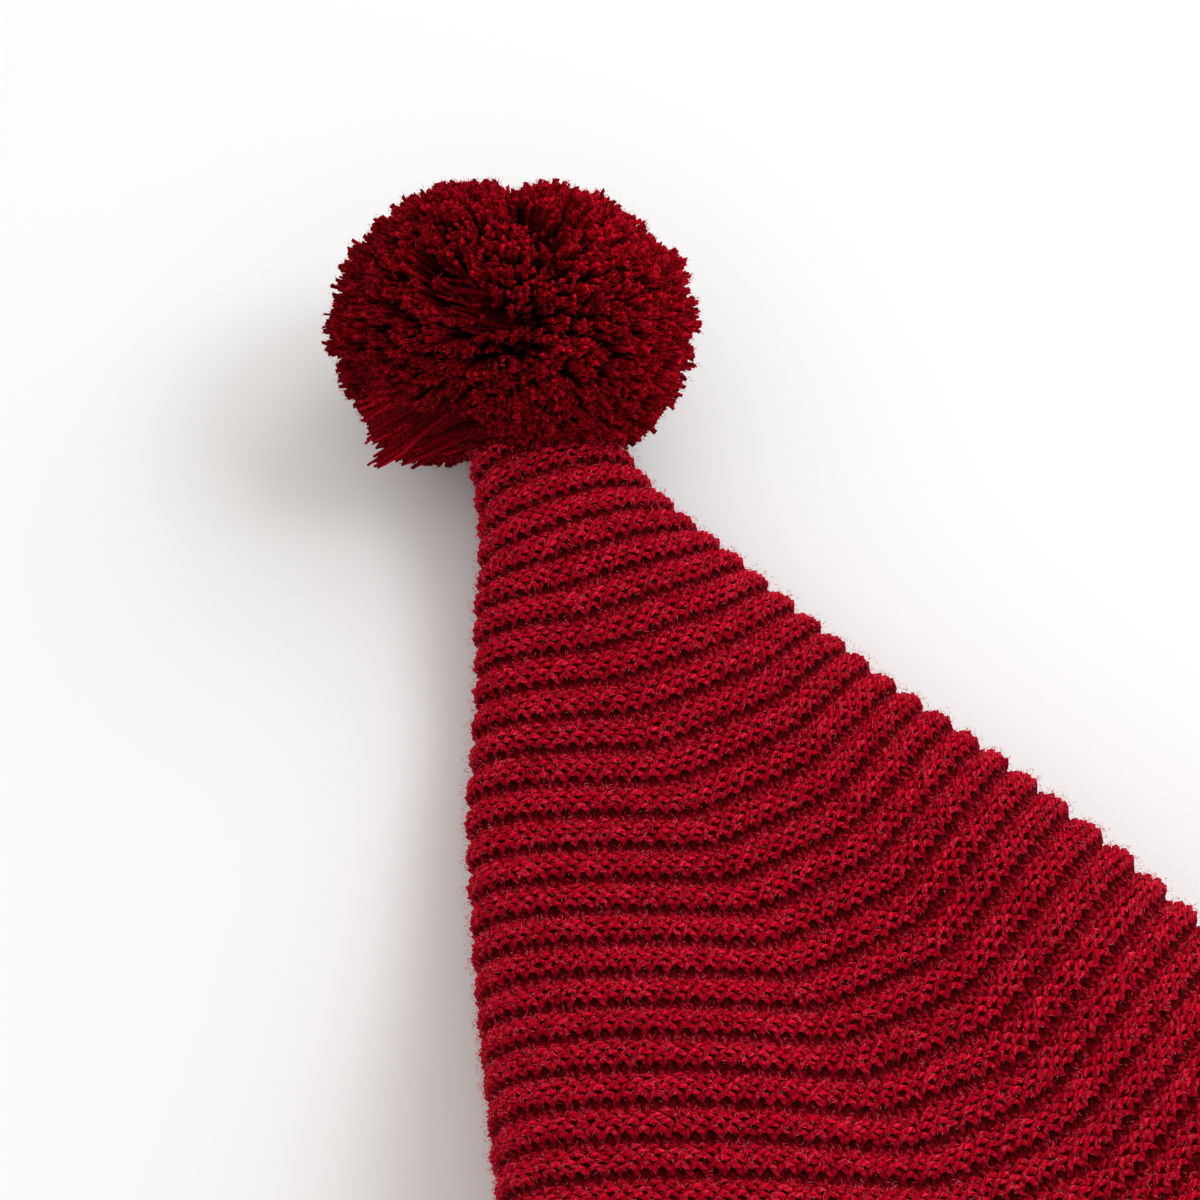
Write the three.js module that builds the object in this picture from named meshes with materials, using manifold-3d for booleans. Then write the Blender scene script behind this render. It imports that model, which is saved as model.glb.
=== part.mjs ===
// Knit pixie hat with a pompom, lying on its side. Millimetres, +Z up, tip towards +Y, brim towards -Y.
import * as THREE from "three";
import Module from "manifold-3d";
import { mergeVertices } from "three/addons/utils/BufferGeometryUtils.js";

const crownLength = 214.5;        // along the middle, from the gathered tip to the brim
const brimWidth = 144;            // valley to valley across the brim
const brimHeight = 58;            // valley to valley through the lying brim
const wallThickness = 2.2;        // cloth in a valley between two ridges
const ridgeCount = 36;            // knitted ridges from tip to brim
const ridgeHeight = 1.7;          // how proud a ridge stands of its valleys
const restLift = 1.2;             // valley height over the surface where the hat rests
const stripWidth = 22.4;          // middle strip between the two lines of decreases
const stripCentre = 1.6;          // sideways place of that strip
const pompomWidth = 64;           // picture-wise width of the pompom
const pompomDepth = 49;
const pompomHeight = 56.5;
const pompomTurn = 26;            // degrees that the pompom is turned against the crown
const pompomAside = 2.9;          // sideways place of the pompom's middle
const pompomAhead = 20.4;         // its place ahead of the crown's origin
const pompomSink = 1.0;           // how far its yarn gives way on the surface
const seatClearance = 0.3;        // free space around the crown's tip in the pompom
const lockCount = 58;             // locks of cut yarn around the pompom
const aroundGore = 7;             // facets over each half of a side panel
const aroundStrip = 3;            // facets over the middle strip

// Cross-sections from tip to brim. course and lengths are shares: along of crownLength, left and right
// of brimWidth, height, lift and dip of brimHeight. tilt and the slopes are the slant of the ridges in
// the strip and in the side panels.
const sections = [
  { course: 0.000, along: 0.0000, tilt: 0.10, slopeLeft: 0.00, slopeRight: 0.00, left: 0.049, right: 0.056, height: 0.190, lift: 0.241, dip: 0.000 },
  { course: 0.028, along: 0.0117, tilt: 0.14, slopeLeft: 0.00, slopeRight: 0.00, left: 0.069, right: 0.073, height: 0.241, lift: 0.190, dip: 0.000 },
  { course: 0.083, along: 0.0494, tilt: 0.18, slopeLeft: 0.00, slopeRight: 0.00, left: 0.082, right: 0.077, height: 0.276, lift: 0.129, dip: 0.000 },
  { course: 0.139, along: 0.0988, tilt: 0.17, slopeLeft: 0.00, slopeRight: 0.00, left: 0.103, right: 0.088, height: 0.290, lift: 0.086, dip: 0.000 },
  { course: 0.194, along: 0.1459, tilt: 0.15, slopeLeft: 0.10, slopeRight: 0.10, left: 0.131, right: 0.110, height: 0.300, lift: 0.052, dip: 0.000 },
  { course: 0.250, along: 0.2005, tilt: 0.11, slopeLeft: 0.34, slopeRight: 0.30, left: 0.164, right: 0.141, height: 0.310, lift: 0.028, dip: 0.000 },
  { course: 0.306, along: 0.2606, tilt: 0.09, slopeLeft: 0.39, slopeRight: 0.37, left: 0.196, right: 0.170, height: 0.319, lift: 0.010, dip: 0.000 },
  { course: 0.361, along: 0.3235, tilt: 0.06, slopeLeft: 0.45, slopeRight: 0.39, left: 0.234, right: 0.199, height: 0.336, lift: 0.000, dip: 0.005 },
  { course: 0.417, along: 0.3883, tilt: 0.02, slopeLeft: 0.50, slopeRight: 0.42, left: 0.275, right: 0.225, height: 0.362, lift: 0.000, dip: 0.014 },
  { course: 0.500, along: 0.4839, tilt: 0.02, slopeLeft: 0.50, slopeRight: 0.48, left: 0.323, right: 0.270, height: 0.431, lift: 0.000, dip: 0.034 },
  { course: 0.583, along: 0.5800, tilt: 0.03, slopeLeft: 0.49, slopeRight: 0.50, left: 0.368, right: 0.309, height: 0.569, lift: 0.000, dip: 0.055 },
  { course: 0.639, along: 0.6450, tilt: 0.06, slopeLeft: 0.48, slopeRight: 0.50, left: 0.394, right: 0.334, height: 0.672, lift: 0.000, dip: 0.069 },
  { course: 0.722, along: 0.7390, tilt: 0.08, slopeLeft: 0.47, slopeRight: 0.50, left: 0.433, right: 0.366, height: 0.784, lift: 0.000, dip: 0.086 },
  { course: 0.861, along: 0.8740, tilt: 0.06, slopeLeft: 0.42, slopeRight: 0.46, left: 0.490, right: 0.425, height: 0.914, lift: 0.000, dip: 0.069 },
  { course: 1.000, along: 1.0000, tilt: 0.04, slopeLeft: 0.38, slopeRight: 0.40, left: 0.532, right: 0.470, height: 1.000, lift: 0.000, dip: 0.034 },
];
const tipAhead = 0.063;           // share of crownLength that the tip lies ahead of the origin
const lowerShare = 0.42;          // share of the height that lies under the side folds

// Turns of the pompom's outline, seen from above: angle in degrees, radius as a share of the ellipse.
const outline = [
  { angle: -180, reach: 1.00 }, { angle: -158, reach: 1.08 }, { angle: -133, reach: 1.15 }, { angle: -112, reach: 1.05 },
  { angle: -75, reach: 0.96 }, { angle: -42, reach: 1.03 }, { angle: -8, reach: 1.01 }, { angle: 30, reach: 0.97 },
  { angle: 61, reach: 1.03 }, { angle: 86, reach: 0.96 }, { angle: 110, reach: 1.02 }, { angle: 150, reach: 1.03 },
  { angle: 180, reach: 1.00 },
];

// Monotone curve through the named column of a table.
function curve(rows, key, column) {
  const x = rows.map((row) => row[key]);
  const y = rows.map((row) => row[column]);
  const last = x.length - 1;
  const step = x.slice(1).map((value, i) => value - x[i]);
  const rise = step.map((width, i) => (y[i + 1] - y[i]) / width);
  const slope = x.map((_, i) => {
    if (i === 0) return rise[0];
    if (i === last) return rise[last - 1];
    if (rise[i - 1] * rise[i] <= 0) return 0;
    const before = 2 * step[i] + step[i - 1];
    const after = step[i] + 2 * step[i - 1];
    return (before + after) / (before / rise[i - 1] + after / rise[i]);
  });
  return (at) => {
    const value = Math.min(Math.max(at, x[0]), x[last]);
    let i = 0;
    while (i < last - 1 && value > x[i + 1]) i += 1;
    const s = (value - x[i]) / step[i];
    const blend = s * s * (3 - 2 * s);
    const bend = s * (1 - s) * step[i];
    return y[i] + (y[i + 1] - y[i]) * blend + bend * (slope[i] * (1 - s) - slope[i + 1] * s);
  };
}

const section = Object.fromEntries(
  Object.keys(sections[0]).slice(1).map((column) => [column, curve(sections, "course", column)]),
);
const reachAt = curve(outline, "angle", "reach");

const softStep = (value, from, to) => {
  const s = Math.min(Math.max((value - from) / (to - from), 0), 1);
  return s * s * (3 - 2 * s);
};
const softPart = (distance) => (distance + Math.hypot(distance, 2)) / 2;
const noise = (seed) => {
  const value = Math.sin(seed * 12.9898) * 43758.5453;
  return value - Math.floor(value);
};

// Point of the valley surface: course runs from the tip (0) to the brim (1), around is a share of the
// girth that starts at the right fold and goes over the top.
function clothPoint(course, around) {
  const left = -section.left(course) * brimWidth;
  const right = section.right(course) * brimWidth;
  const height = section.height(course) * brimHeight;
  const lift = section.lift(course) * brimHeight + restLift;
  const stripLeft = stripCentre - stripWidth / 2;
  const stripRight = stripCentre + stripWidth / 2;
  const fromLeft = Math.max(stripLeft, left * 0.62);
  const toRight = Math.min(stripRight, right * 0.62);
  const turn = around - Math.floor(around);
  const onTop = turn < 0.5;
  const across = onTop ? turn * 2 : (1 - turn) * 2;
  let x;
  if (across < 0.38) {
    x = right - (right - toRight) * (1 - Math.cos((across / 0.38) * Math.PI / 2));
  } else if (across < 0.6) {
    x = toRight + (fromLeft - toRight) * ((across - 0.38) / 0.22);
  } else {
    x = left + (fromLeft - left) * (1 - Math.cos(((1 - across) / 0.4) * Math.PI / 2));
  }
  const middle = (left + right) / 2;
  const share = Math.min(Math.abs((x - middle) / ((right - left) / 2)), 1);
  const fullness = softStep(course, 0.2, 0.55);
  const power = onTop ? (x < middle ? 2.3 + 0.5 * fullness : 2.2 + 0.8 * fullness) : 2.4 + 1.0 * fullness;
  const bulge = (1 - share ** power) ** (1 / power);
  const dip = section.dip(course) * brimHeight * Math.exp(-(((x - 5) / 24) ** 2)) * bulge;
  const up = onTop ? (1 - lowerShare) * height * bulge - dip : -lowerShare * height * bulge;
  const along = (section.along(course) - tipAhead) * crownLength + section.tilt(course) * x
    - section.slopeLeft(course) * softPart(stripLeft - x) - section.slopeRight(course) * softPart(x - stripRight);
  return new THREE.Vector3(x, -along, lift + lowerShare * height + up);
}

// The same point moved out of the cloth by a distance.
function offsetPoint(course, around, distance) {
  const nearby = 0.004;
  const back = Math.max(course - nearby, 0);
  const ahead = Math.min(course + nearby, 1);
  const lengthwise = clothPoint(ahead, around).sub(clothPoint(back, around));
  const girthwise = clothPoint(course, around + nearby).sub(clothPoint(course, around - nearby));
  const outward = girthwise.cross(lengthwise).normalize();
  return clothPoint(course, around).addScaledVector(outward, distance);
}

// Shares of the girth where facets meet, close together at the folds.
function girthShares(gore, strip) {
  const half = [];
  for (let i = 0; i < gore; i += 1) half.push((0.38 * i) / gore);
  for (let i = 0; i < strip; i += 1) half.push(0.38 + (0.22 * i) / strip);
  for (let i = 0; i < gore; i += 1) half.push(0.6 + (0.4 * i) / gore);
  return [...half.map((across) => across / 2), 0.5, ...half.slice(1).reverse().map((across) => 1 - across / 2)];
}

// Joins rings of points; closes both ends with a fan to an end point.
function meshFromRings(rings, firstEnd, lastEnd) {
  const count = rings[0].length;
  const points = rings.flat();
  const faces = [];
  rings.slice(1).forEach((_, row) => {
    for (let i = 0; i < count; i += 1) {
      const next = (i + 1) % count;
      const a = row * count + i;
      const b = row * count + next;
      faces.push(a, b, a + count, b, b + count, a + count);
    }
  });
  const tail = (rings.length - 1) * count;
  if (firstEnd) points.push(firstEnd);
  const first = points.length - 1;
  if (lastEnd) points.push(lastEnd);
  const last = points.length - 1;
  for (let i = 0; i < count; i += 1) {
    const next = (i + 1) % count;
    if (firstEnd) faces.push(first, next, i);
    if (lastEnd) faces.push(last, tail + i, tail + next);
  }
  const geometry = new THREE.BufferGeometry();
  geometry.setAttribute("position", new THREE.Float32BufferAttribute(points.flatMap((p) => [p.x, p.y, p.z]), 3));
  geometry.setIndex(faces);
  return geometry;
}

const ringMiddle = (ring) => ring.reduce((sum, p) => sum.add(p), new THREE.Vector3()).divideScalar(ring.length);

function crownGeometry() {
  const shares = girthShares(aroundGore, aroundStrip);
  const profile = [{ at: 0, rise: 0 }, { at: 0.24, rise: 0.92 }, { at: 0.76, rise: 0.92 }];
  const rings = [];
  for (let ridge = 0; ridge < ridgeCount; ridge += 1) {
    profile.forEach(({ at, rise }) => {
      const course = (ridge + at) / ridgeCount;
      rings.push(shares.map((around) => offsetPoint(course, around, rise * ridgeHeight)));
    });
  }
  rings.push(shares.map((around) => offsetPoint(1, around, 0)));
  rings.forEach((ring) => ring.forEach((point) => { point.z = Math.max(point.z, 0); }));
  const tip = ringMiddle(rings[0]).add(new THREE.Vector3(0, 0.8, 0));
  const inner = [];
  const innerSteps = 8;
  for (let i = innerSteps; i >= 0; i -= 1) {
    const course = 0.03 + (0.97 * i) / innerSteps;
    inner.push(shares.map((around) => offsetPoint(course, around, -wallThickness)));
  }
  const innerTip = ringMiddle(inner[innerSteps]).add(new THREE.Vector3(0, 0.8, 0));
  return meshFromRings([...rings, ...inner], tip, innerTip);
}

// Radius of the pompom in a direction, in the pompom's own turned frame.
function pompomRadius(direction) {
  const flat = Math.hypot(direction.x, direction.y);
  const angle = THREE.MathUtils.radToDeg(Math.atan2(direction.y, direction.x));
  const reach = 1 + (reachAt(angle) - 1) * softStep(flat, 0.2, 0.9);
  const ellipse = Math.hypot(direction.x / (pompomWidth / 2), direction.y / (pompomDepth / 2), direction.z / (pompomHeight / 2));
  return reach / ellipse;
}

// A tapered lock of cut yarn that points outward in a direction.
function lockGeometry(direction, reach, thickness) {
  const profile = [
    { out: 0.55, wide: 0.55 }, { out: 0.90, wide: 1.00 }, { out: 0.985, wide: 0.78 },
  ];
  const side = new THREE.Vector3(-direction.y, direction.x, 0.02).normalize();
  const other = new THREE.Vector3().crossVectors(direction, side);
  const sides = 5;
  const turn = noise(reach * 7.3) * Math.PI;
  const rings = profile.map(({ out, wide }) => Array.from({ length: sides }, (_, i) => {
    const angle = turn + (i / sides) * Math.PI * 2;
    return direction.clone().multiplyScalar(out * reach)
      .addScaledVector(side, Math.cos(angle) * wide * thickness)
      .addScaledVector(other, Math.sin(angle) * wide * thickness);
  }));
  return meshFromRings(rings, ringMiddle(rings[0]), direction.clone().multiplyScalar(reach * 1.015));
}

function pompomDirections(count) {
  return Array.from({ length: count }, (_, i) => {
    const z = 1 - (2 * (i + 0.5)) / count;
    const angle = i * Math.PI * (3 - Math.sqrt(5));
    const flat = Math.sqrt(1 - z * z);
    return new THREE.Vector3(Math.cos(angle) * flat, Math.sin(angle) * flat, z);
  });
}

function headGeometry() {
  const rows = 9;
  const around = 16;
  const rings = [];
  for (let row = 1; row < rows; row += 1) {
    const polar = (row / rows) * Math.PI;
    rings.push(Array.from({ length: around }, (_, i) => {
      const angle = (i / around) * Math.PI * 2;
      const direction = new THREE.Vector3(Math.sin(polar) * Math.cos(angle), Math.sin(polar) * Math.sin(angle), Math.cos(polar));
      return direction.multiplyScalar(0.9 * pompomRadius(direction));
    }));
  }
  const pole = 0.45 * pompomHeight;
  return meshFromRings(rings.reverse(), new THREE.Vector3(0, 0, -pole), new THREE.Vector3(0, 0, pole));
}

const wasm = await Module();
wasm.setup();

function toSolid(geometry, matrix) {
  const placed = matrix ? geometry.clone().applyMatrix4(matrix) : geometry;
  return new wasm.Manifold(new wasm.Mesh({
    numProp: 3,
    vertProperties: new Float32Array(placed.attributes.position.array),
    triVerts: new Uint32Array(placed.index.array),
  }));
}

function toGeometry(solid) {
  const mesh = solid.getMesh();
  const geometry = new THREE.BufferGeometry();
  geometry.setAttribute("position", new THREE.BufferAttribute(Float32Array.from(mesh.vertProperties), 3));
  geometry.setIndex(new THREE.BufferAttribute(Uint32Array.from(mesh.triVerts), 1));
  return mergeVertices(geometry, 1e-4);
}

// Room around the crown's tip, which sits inside the pompom.
function seatGeometry() {
  const shares = girthShares(3, 2);
  const reach = ridgeHeight + seatClearance;
  const rings = [0, 0.028, 0.07, 0.11, 0.16, 0.22].map((course) => (
    shares.map((around) => offsetPoint(course, around, reach + 0.25))));
  const ahead = new THREE.Vector3(0, 0.8 + seatClearance + ridgeHeight, 0);
  const front = rings[0].map((point) => point.clone().add(new THREE.Vector3(0, ridgeHeight, 0)));
  return meshFromRings([front, ...rings.slice(1)], ringMiddle(front).add(ahead), ringMiddle(rings[rings.length - 1]));
}

function pompomGeometry() {
  const place = new THREE.Matrix4().makeRotationZ(THREE.MathUtils.degToRad(-pompomTurn))
    .setPosition(pompomAside, pompomAhead, pompomHeight / 2 - pompomSink);
  let solid = toSolid(headGeometry(), place);
  pompomDirections(lockCount).forEach((direction, i) => {
    const reach = pompomRadius(direction) * (0.97 + 0.06 * noise(i + 1));
    const thickness = 5.4 + 1.8 * noise(i + 50);
    solid = solid.add(toSolid(lockGeometry(direction, reach, thickness), place));
  });
  solid = solid.subtract(toSolid(seatGeometry()));
  const floorCut = new THREE.BoxGeometry(4 * pompomWidth, 4 * pompomWidth, pompomHeight);
  floorCut.deleteAttribute("normal");
  floorCut.deleteAttribute("uv");
  const below = new THREE.Matrix4().makeTranslation(pompomAside, pompomAhead, -pompomHeight / 2);
  solid = solid.subtract(toSolid(mergeVertices(floorCut), below));
  return toGeometry(solid);
}

function cloth(name, geometry, color) {
  geometry.computeVertexNormals();
  const mesh = new THREE.Mesh(geometry, new THREE.MeshStandardMaterial({ color, roughness: 0.95, metalness: 0 }));
  mesh.name = name;
  return mesh;
}

const hat = new THREE.Group();
hat.name = "knit_hat";
hat.add(cloth("knit_crown", crownGeometry(), 0xb0152a));
hat.add(cloth("pompom", pompomGeometry(), 0x9c1024));

// The origin is the middle of the bounding box, on the surface that the hat lies on.
const bounds = new THREE.Box3().setFromObject(hat);
const middle = bounds.getCenter(new THREE.Vector3());
hat.children.forEach((mesh) => mesh.geometry.translate(-middle.x, -middle.y, -bounds.min.z));

export default hat;
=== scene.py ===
import math

import bmesh
import bpy
import numpy as np
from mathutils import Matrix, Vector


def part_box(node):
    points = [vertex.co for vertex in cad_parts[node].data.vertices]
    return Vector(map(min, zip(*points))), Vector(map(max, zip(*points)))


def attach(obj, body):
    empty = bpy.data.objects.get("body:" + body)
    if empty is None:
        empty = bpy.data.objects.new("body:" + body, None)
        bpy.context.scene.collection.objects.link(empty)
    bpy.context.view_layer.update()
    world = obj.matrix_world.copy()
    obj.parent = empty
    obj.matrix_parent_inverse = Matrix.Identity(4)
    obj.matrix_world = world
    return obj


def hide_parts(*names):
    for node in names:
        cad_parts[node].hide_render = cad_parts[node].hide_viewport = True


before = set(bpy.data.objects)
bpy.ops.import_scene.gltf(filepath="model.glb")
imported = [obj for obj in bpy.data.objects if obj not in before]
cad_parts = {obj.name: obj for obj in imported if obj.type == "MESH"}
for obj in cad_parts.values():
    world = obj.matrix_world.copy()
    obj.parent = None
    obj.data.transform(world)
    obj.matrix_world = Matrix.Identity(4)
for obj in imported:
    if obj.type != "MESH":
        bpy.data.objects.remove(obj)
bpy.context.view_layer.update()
print("frame loaded")

millimetre = 0.001
tiny = 1e-9
random = np.random.default_rng(7)

# crown: lengths in mm with the tip towards +Y; along is a share of length, left and right of brimWidth,
# height, lift and dip of brimHeight
crown = {
    "length": 214.5,
    "brimWidth": 144.0,
    "brimHeight": 58.0,
    "wall": 2.2,
    "ridges": 36,
    "ridgeHeight": 1.7,
    "ridgeRound": 0.6,
    "restLift": 1.2,
    "tipAhead": 0.063,
    "lowerShare": 0.42,
    # strip between the two bends: width, middle, and its limit as a share of the half width near the tip
    "stripWidth": 22.4,
    "stripCentre": 1.6,
    "stripLimit": 0.62,
    "bendRound": 2.0,
    # how far across, from the right fold, the right panel and the strip end
    "panelEnds": (0.38, 0.60),
    # power of the rounded section at the tip and what it gains towards the brim
    "roundLeft": (2.3, 0.5),
    "roundRight": (2.2, 0.8),
    "roundBelow": (2.4, 1.0),
    "fullBetween": (0.2, 0.55),
    # dent on top: sideways place and width
    "dentPlace": 5.0,
    "dentWidth": 24.0,
    # how high the solid's ridges stand as a share of ridgeHeight, and from where on their wave
    "crestShare": 0.92,
    "crestFrom": 0.45,
    # how far apart the points lie that give the skin its outward way, as a share of its length and girth
    "nearby": 0.004,
    # course, along, tilt, slopeLeft, slopeRight, left, right, height, lift, dip
    "sections": [
        (0.000, 0.0000, 0.10, 0.00, 0.00, 0.049, 0.056, 0.190, 0.241, 0.000),
        (0.028, 0.0117, 0.14, 0.00, 0.00, 0.069, 0.073, 0.241, 0.190, 0.000),
        (0.083, 0.0494, 0.18, 0.00, 0.00, 0.082, 0.077, 0.276, 0.129, 0.000),
        (0.139, 0.0988, 0.17, 0.00, 0.00, 0.103, 0.088, 0.290, 0.086, 0.000),
        (0.194, 0.1459, 0.15, 0.10, 0.10, 0.131, 0.110, 0.300, 0.052, 0.000),
        (0.250, 0.2005, 0.11, 0.34, 0.30, 0.164, 0.141, 0.310, 0.028, 0.000),
        (0.306, 0.2606, 0.09, 0.39, 0.37, 0.196, 0.170, 0.319, 0.010, 0.000),
        (0.361, 0.3235, 0.06, 0.45, 0.39, 0.234, 0.199, 0.336, 0.000, 0.005),
        (0.417, 0.3883, 0.02, 0.50, 0.42, 0.275, 0.225, 0.362, 0.000, 0.014),
        (0.500, 0.4839, 0.02, 0.50, 0.48, 0.323, 0.270, 0.431, 0.000, 0.034),
        (0.583, 0.5800, 0.03, 0.49, 0.50, 0.368, 0.309, 0.569, 0.000, 0.055),
        (0.639, 0.6450, 0.06, 0.48, 0.50, 0.394, 0.334, 0.672, 0.000, 0.069),
        (0.722, 0.7390, 0.08, 0.47, 0.50, 0.433, 0.366, 0.784, 0.000, 0.086),
        (0.861, 0.8740, 0.06, 0.42, 0.46, 0.490, 0.425, 0.914, 0.000, 0.069),
        (1.000, 1.0000, 0.04, 0.38, 0.40, 0.532, 0.470, 1.000, 0.000, 0.034),
    ],
}


# smooth curve through values at places, which never overshoots them
def monotone(places, values):
    places = np.array(places, float)
    values = np.array(values, float)
    step = np.diff(places)
    rise = np.diff(values) / step
    slope = np.zeros(len(places))
    slope[0] = rise[0]
    slope[-1] = rise[-1]
    for i in range(1, len(places) - 1):
        if rise[i - 1] * rise[i] > 0:
            before = 2 * step[i] + step[i - 1]
            after = step[i] + 2 * step[i - 1]
            slope[i] = (before + after) / (before / rise[i - 1] + after / rise[i])

    def curve(at):
        at = np.clip(at, places[0], places[-1])
        i = np.clip(np.searchsorted(places, at, side="right") - 1, 0, len(places) - 2)
        share = (at - places[i]) / step[i]
        blend = share * share * (3 - 2 * share)
        bend = share * (1 - share) * step[i] * (slope[i] * (1 - share) - slope[i + 1] * share)
        return values[i] + (values[i + 1] - values[i]) * blend + bend

    return curve


columnNames = ["along", "tilt", "slopeLeft", "slopeRight", "left", "right", "height", "lift", "dip"]
sectionColumns = list(zip(*crown["sections"]))
sectionCurves = {
    name: monotone(sectionColumns[0], sectionColumns[i + 1]) for i, name in enumerate(columnNames)
}


def softStep(value, low, high):
    share = np.clip((value - low) / (high - low), 0, 1)
    return share * share * (3 - 2 * share)


# distance past a bend, rounded off where the bend begins
def softPart(distance):
    return (distance + np.hypot(distance, crown["bendRound"])) / 2


def unit(vectors):
    return vectors / np.maximum(np.linalg.norm(vectors, axis=-1, keepdims=True), tiny)


# valley surface: course 0 at the tip, 1 at the brim; around starts at the right fold and goes over the top
def clothPoint(course, around):
    course, around = np.broadcast_arrays(np.asarray(course, float), np.asarray(around, float))
    at = {name: curve(course) for name, curve in sectionCurves.items()}
    left = -at["left"] * crown["brimWidth"]
    right = at["right"] * crown["brimWidth"]
    height = at["height"] * crown["brimHeight"]
    lift = at["lift"] * crown["brimHeight"] + crown["restLift"]
    stripLeft = crown["stripCentre"] - crown["stripWidth"] / 2
    stripRight = crown["stripCentre"] + crown["stripWidth"] / 2
    fromLeft = np.maximum(stripLeft, left * crown["stripLimit"])
    toRight = np.minimum(stripRight, right * crown["stripLimit"])
    turn = around - np.floor(around)
    onTop = turn < 0.5
    across = np.where(onTop, turn * 2, (1 - turn) * 2)
    rightEnd, stripEnd = crown["panelEnds"]
    rightShare = np.clip(across / rightEnd, 0, 1)
    stripShare = np.clip((across - rightEnd) / (stripEnd - rightEnd), 0, 1)
    leftShare = np.clip((1 - across) / (1 - stripEnd), 0, 1)
    x = np.where(
        across < rightEnd,
        right - (right - toRight) * (1 - np.cos(rightShare * math.pi / 2)),
        np.where(
            across < stripEnd,
            toRight + (fromLeft - toRight) * stripShare,
            left + (fromLeft - left) * (1 - np.cos(leftShare * math.pi / 2)),
        ),
    )
    middle = (left + right) / 2
    share = np.clip(np.abs((x - middle) / ((right - left) / 2)), 0, 1)
    fullness = softStep(course, *crown["fullBetween"])
    leftPower, rightPower, lowerPower = [
        crown[side][0] + crown[side][1] * fullness for side in ("roundLeft", "roundRight", "roundBelow")
    ]
    power = np.where(onTop, np.where(x < middle, leftPower, rightPower), lowerPower)
    bulge = (1 - share**power) ** (1 / power)
    dent = np.exp(-(((x - crown["dentPlace"]) / crown["dentWidth"]) ** 2))
    dip = at["dip"] * crown["brimHeight"] * dent * bulge
    lowerShare = crown["lowerShare"]
    up = np.where(onTop, (1 - lowerShare) * height * bulge - dip, -lowerShare * height * bulge)
    along = (at["along"] - crown["tipAhead"]) * crown["length"] + at["tilt"] * x
    along = along - at["slopeLeft"] * softPart(stripLeft - x) - at["slopeRight"] * softPart(x - stripRight)
    return np.stack([x, -along, lift + lowerShare * height + up], axis=-1)


# the same surface moved out by a distance, and its outward way
def offsetPoint(course, around, distance):
    near = crown["nearby"]
    ahead = clothPoint(np.minimum(course + near, 1), around)
    back = clothPoint(np.maximum(course - near, 0), around)
    girthwise = clothPoint(course, around + near) - clothPoint(course, around - near)
    outward = unit(np.cross(girthwise, ahead - back))
    return clothPoint(course, around) + outward * np.asarray(distance)[..., None], outward


# height of a ridge over its valleys
def ridgeRise(within):
    return crown["ridgeHeight"] * np.sin(math.pi * np.clip(within, 0, 1)) ** crown["ridgeRound"]


# shift from the crown's own mm to the frame: a net of points over the crown's wide part meets the sideways
# middle and the brim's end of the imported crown
crownLow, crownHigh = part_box("knit_crown")
gridCourse, gridAround = np.meshgrid(np.linspace(0.3, 1, 561), np.linspace(0, 1, 241), indexing="ij")
onCrest = np.sin(math.pi * gridCourse * crown["ridges"]) ** 2 > crown["crestFrom"]
gridRise = crown["crestShare"] * crown["ridgeHeight"] * onCrest
rawCrown, _ = offsetPoint(gridCourse, gridAround, gridRise)
toFrame = np.array([
    (crownLow.x + crownHigh.x) / 2 / millimetre - (rawCrown[..., 0].min() + rawCrown[..., 0].max()) / 2,
    crownLow.y / millimetre - rawCrown[..., 1].min(),
    0.0,
])
print("frame shift", toFrame)


# a finished mesh becomes a piece of the scene
def finishPiece(mesh, material):
    mesh.materials.append(material)
    piece = bpy.data.objects.new(mesh.name, mesh)
    bpy.context.scene.collection.objects.link(piece)
    mesh.calc_loop_triangles()
    print(mesh.name, "triangles", len(mesh.loop_triangles))
    return piece


# one piece from arrays in mm, because stitches and hairs are too many to shape one by one
def pieceFromArrays(name, material, points, corners, sizes, marks, uvs=None):
    mesh = bpy.data.meshes.new(name)
    mesh.vertices.add(len(points))
    mesh.vertices.foreach_set("co", ((points + toFrame) * millimetre).astype(np.float32).ravel())
    mesh.loops.add(len(corners))
    mesh.loops.foreach_set("vertex_index", corners.astype(np.int32))
    starts = np.concatenate([[0], np.cumsum(sizes)[:-1]])
    mesh.polygons.add(len(sizes))
    mesh.polygons.foreach_set("loop_start", starts.astype(np.int32))
    mesh.polygons.foreach_set("use_smooth", np.ones(len(sizes), bool))
    if uvs is not None:
        layer = mesh.uv_layers.new(name="yarn")
        layer.data.foreach_set("uv", uvs.astype(np.float32).ravel())
    for key, values in marks.items():
        layer = mesh.attributes.new(key, "FLOAT", "POINT")
        layer.data.foreach_set("value", values.astype(np.float32))
    mesh.update(calc_edges=True)
    mesh.validate()
    return finishPiece(mesh, material)


yarnShift = 3.0  # mm, the most by which a yarn's pattern is shifted along it


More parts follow.
